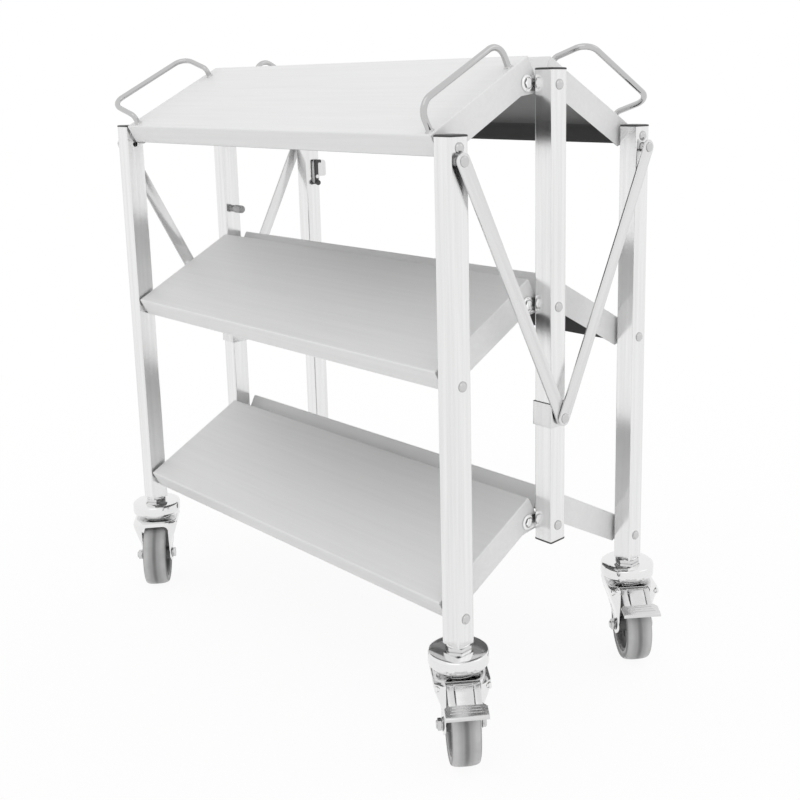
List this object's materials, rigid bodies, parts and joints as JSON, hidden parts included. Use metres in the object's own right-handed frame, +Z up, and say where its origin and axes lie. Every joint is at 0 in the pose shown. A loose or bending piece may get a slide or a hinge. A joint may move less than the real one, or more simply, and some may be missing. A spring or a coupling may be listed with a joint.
{
  "type": "folding service cart",
  "caption": "Folding stainless steel service cart: tiers of paired trays hinged at a ridge, square legs on swivel casters, sliding collar braces, bent rod handles.",
  "frame": {"origin": "on the floor, under the middle of the box round the half-folded cart", "axes": "+Z up; Y along the ridge from the near end, which has the braked casters, to the far end; X across the cart, from the left trays to the right trays"},
  "size_m": [0.4588, 0.8457, 0.8613],
  "materials": {
    "tube_steel": "polished",
    "tray_steel": "satin",
    "bar_steel": "satin",
    "handle_rod": "polished",
    "bright_hardware": "bright",
    "caster_chrome": "plated",
    "pedal_steel": "plated",
    "stud_grey": "satin",
    "black_cap": "satin",
    "hub_plastic": "satin",
    "tyre_rubber": "matt"
  },
  "bodies": {
    "posts": {"post_near": "tube_steel", "post_far": "tube_steel", "post_caps": "black_cap", "post_bolts": "bright_hardware", "latch_stud": "stud_grey"},
    "tray_top_left": {"tray_top_left": "tray_steel", "handle_near_left": "handle_rod", "handle_far_left": "handle_rod"},
    "tray_top_right": {"tray_top_right": "tray_steel", "handle_near_right": "handle_rod", "handle_far_right": "handle_rod"},
    "tray_middle_left": {"tray_middle_left": "tray_steel"},
    "tray_middle_right": {"tray_middle_right": "tray_steel"},
    "tray_bottom_left": {"tray_bottom_left": "tray_steel"},
    "tray_bottom_right": {"tray_bottom_right": "tray_steel"},
    "legs_left": {"leg_near_left": "tube_steel", "leg_far_left": "tube_steel", "leg_caps_left": "black_cap", "leg_rivets_left": "bright_hardware", "pivot_washers_left": "black_cap", "brace_bolts_left": "bright_hardware", "caster_mounts_left": "caster_chrome"},
    "legs_right": {"leg_near_right": "tube_steel", "leg_far_right": "tube_steel", "leg_caps_right": "black_cap", "leg_rivets_right": "bright_hardware", "pivot_washers_right": "black_cap", "brace_bolts_right": "bright_hardware", "caster_mounts_right": "caster_chrome", "latch_plate": "bar_steel"},
    "collar_near": {"collar_near": "bar_steel"},
    "collar_far": {"collar_far": "bar_steel"},
    "brace_near_left": {"brace_near_left": "bar_steel", "brace_rivet_near_left": "bright_hardware"},
    "brace_near_right": {"brace_near_right": "bar_steel", "brace_rivet_near_right": "bright_hardware"},
    "brace_far_left": {"brace_far_left": "bar_steel", "brace_rivet_far_left": "bright_hardware"},
    "brace_far_right": {"brace_far_right": "bar_steel", "brace_rivet_far_right": "bright_hardware"},
    "caster_near_left": {"caster_fork_near_left": "caster_chrome", "caster_axle_near_left": "bright_hardware"},
    "wheel_near_left": {"caster_hub_near_left": "hub_plastic", "caster_tyre_near_left": "tyre_rubber"},
    "brake_near_left": {"brake_pedal_near_left": "pedal_steel"},
    "caster_near_right": {"caster_fork_near_right": "caster_chrome", "caster_axle_near_right": "bright_hardware"},
    "wheel_near_right": {"caster_hub_near_right": "hub_plastic", "caster_tyre_near_right": "tyre_rubber"},
    "brake_near_right": {"brake_pedal_near_right": "pedal_steel"},
    "caster_far_left": {"caster_fork_far_left": "caster_chrome", "caster_axle_far_left": "bright_hardware"},
    "wheel_far_left": {"caster_hub_far_left": "hub_plastic", "caster_tyre_far_left": "tyre_rubber"},
    "caster_far_right": {"caster_fork_far_right": "caster_chrome", "caster_axle_far_right": "bright_hardware"},
    "wheel_far_right": {"caster_hub_far_right": "hub_plastic", "caster_tyre_far_right": "tyre_rubber"},
    "latch_hook": {"latch_hook": "black_cap"}
  },
  "joints": [
    {"name": "fold", "type": "hinge", "parent": "legs_left", "child": "tray_top_left", "pos_m": [-0.15443, 0.024, 0.7427], "axis": [0, -1, 0], "range_deg": [-28.4, 38]},
    {"name": "tray_top_right_fold", "type": "hinge", "parent": "posts", "child": "tray_top_right", "pos_m": [0.0185, 0.024, 0.8112], "axis": [0, 1, 0], "range_deg": [-28.4, 38]},
    {"name": "tray_middle_left_fold", "type": "hinge", "parent": "legs_left", "child": "tray_middle_left", "pos_m": [-0.15443, 0.024, 0.4674], "axis": [0, -1, 0], "range_deg": [-28.4, 38]},
    {"name": "tray_middle_right_fold", "type": "hinge", "parent": "posts", "child": "tray_middle_right", "pos_m": [0.0185, 0.024, 0.5359], "axis": [0, 1, 0], "range_deg": [-28.4, 38]},
    {"name": "tray_bottom_left_fold", "type": "hinge", "parent": "legs_left", "child": "tray_bottom_left", "pos_m": [-0.15443, 0.024, 0.1755], "axis": [0, -1, 0], "range_deg": [-28.4, 38]},
    {"name": "tray_bottom_right_fold", "type": "hinge", "parent": "posts", "child": "tray_bottom_right", "pos_m": [0.0185, 0.024, 0.244], "axis": [0, 1, 0], "range_deg": [-28.4, 38]},
    {"name": "legs_right_swing", "type": "hinge", "parent": "tray_top_right", "child": "legs_right", "pos_m": [0.19143, 0.024, 0.7427], "axis": [0, 1, 0], "range_deg": [-38, 28.4]},
    {"name": "posts_swing", "type": "hinge", "parent": "tray_top_left", "child": "posts", "pos_m": [0.0185, 0.024, 0.8112], "axis": [0, -1, 0], "range_deg": [-38, 28.4]},
    {"name": "collar_near_slide", "type": "slide", "parent": "posts", "child": "collar_near", "axis": [0, 0, 1], "range_m": [-0.126, 0.094]},
    {"name": "collar_far_slide", "type": "slide", "parent": "posts", "child": "collar_far", "axis": [0, 0, 1], "range_m": [-0.126, 0.094]},
    {"name": "brace_near_left_swing", "type": "hinge", "parent": "legs_left", "child": "brace_near_left", "pos_m": [-0.15443, -0.337, 0.728], "axis": [0, 1, 0], "range_deg": [-6.6, 8.8]},
    {"name": "brace_near_right_swing", "type": "hinge", "parent": "legs_right", "child": "brace_near_right", "pos_m": [0.19143, -0.337, 0.728], "axis": [0, -1, 0], "range_deg": [-6.6, 8.8]},
    {"name": "brace_far_left_swing", "type": "hinge", "parent": "legs_left", "child": "brace_far_left", "pos_m": [-0.15443, 0.385, 0.728], "axis": [0, 1, 0], "range_deg": [-6.6, 8.8]},
    {"name": "brace_far_right_swing", "type": "hinge", "parent": "legs_right", "child": "brace_far_right", "pos_m": [0.19143, 0.385, 0.728], "axis": [0, -1, 0], "range_deg": [-6.6, 8.8]},
    {"name": "caster_near_left_swivel", "type": "hinge", "parent": "legs_left", "child": "caster_near_left", "pos_m": [-0.15443, -0.337, 0.1], "axis": [0, 0, 1], "continuous": true},
    {"name": "wheel_near_left_roll", "type": "hinge", "parent": "caster_near_left", "child": "wheel_near_left", "pos_m": [-0.17291, -0.36064, 0.05], "axis": [-0.788, 0.6157, 0], "continuous": true},
    {"name": "brake_near_left_press", "type": "hinge", "parent": "caster_near_left", "child": "brake_near_left", "pos_m": [-0.18091, -0.37088, 0.1045], "axis": [0.788, -0.6157, 0], "range_deg": [0, 10]},
    {"name": "caster_near_right_swivel", "type": "hinge", "parent": "legs_right", "child": "caster_near_right", "pos_m": [0.19143, -0.337, 0.1], "axis": [0, 0, 1], "continuous": true},
    {"name": "wheel_near_right_roll", "type": "hinge", "parent": "caster_near_right", "child": "wheel_near_right", "pos_m": [0.17255, -0.36031, 0.05], "axis": [-0.7771, 0.6293, 0], "continuous": true},
    {"name": "brake_near_right_press", "type": "hinge", "parent": "caster_near_right", "child": "brake_near_right", "pos_m": [0.16437, -0.37042, 0.1045], "axis": [0.7771, -0.6293, 0], "range_deg": [0, 10]},
    {"name": "caster_far_left_swivel", "type": "hinge", "parent": "legs_left", "child": "caster_far_left", "pos_m": [-0.15443, 0.385, 0.1], "axis": [0, 0, 1], "continuous": true},
    {"name": "wheel_far_left_roll", "type": "hinge", "parent": "caster_far_left", "child": "wheel_far_left", "pos_m": [-0.17207, 0.36073, 0.05], "axis": [-0.809, 0.5878, 0], "continuous": true},
    {"name": "caster_far_right_swivel", "type": "hinge", "parent": "legs_right", "child": "caster_far_right", "pos_m": [0.19143, 0.385, 0.1], "axis": [0, 0, 1], "continuous": true},
    {"name": "wheel_far_right_roll", "type": "hinge", "parent": "caster_far_right", "child": "wheel_far_right", "pos_m": [0.17338, 0.36104, 0.05], "axis": [-0.7986, 0.6018, 0], "continuous": true},
    {"name": "latch_hook_swing", "type": "hinge", "parent": "legs_right", "child": "latch_hook", "pos_m": [0.19493, 0.3659, 0.655], "axis": [0, 1, 0], "range_deg": [-20, 90]}
  ],
  "couplings": [
    {"joint": "tray_top_right_fold", "follows": "fold", "ratio": 1},
    {"joint": "tray_middle_left_fold", "follows": "fold", "ratio": 1},
    {"joint": "tray_middle_right_fold", "follows": "fold", "ratio": 1},
    {"joint": "tray_bottom_left_fold", "follows": "fold", "ratio": 1},
    {"joint": "tray_bottom_right_fold", "follows": "fold", "ratio": 1},
    {"joint": "legs_right_swing", "follows": "fold", "ratio": -1},
    {"joint": "posts_swing", "follows": "fold", "ratio": -1},
    {"joint": "collar_near_slide", "follows": "fold", "m_per_rad": -0.189},
    {"joint": "collar_far_slide", "follows": "fold", "m_per_rad": -0.189},
    {"joint": "brace_near_left_swing", "follows": "fold", "ratio": 0.229},
    {"joint": "brace_near_right_swing", "follows": "fold", "ratio": 0.229},
    {"joint": "brace_far_left_swing", "follows": "fold", "ratio": 0.229},
    {"joint": "brace_far_right_swing", "follows": "fold", "ratio": 0.229}
  ]
}
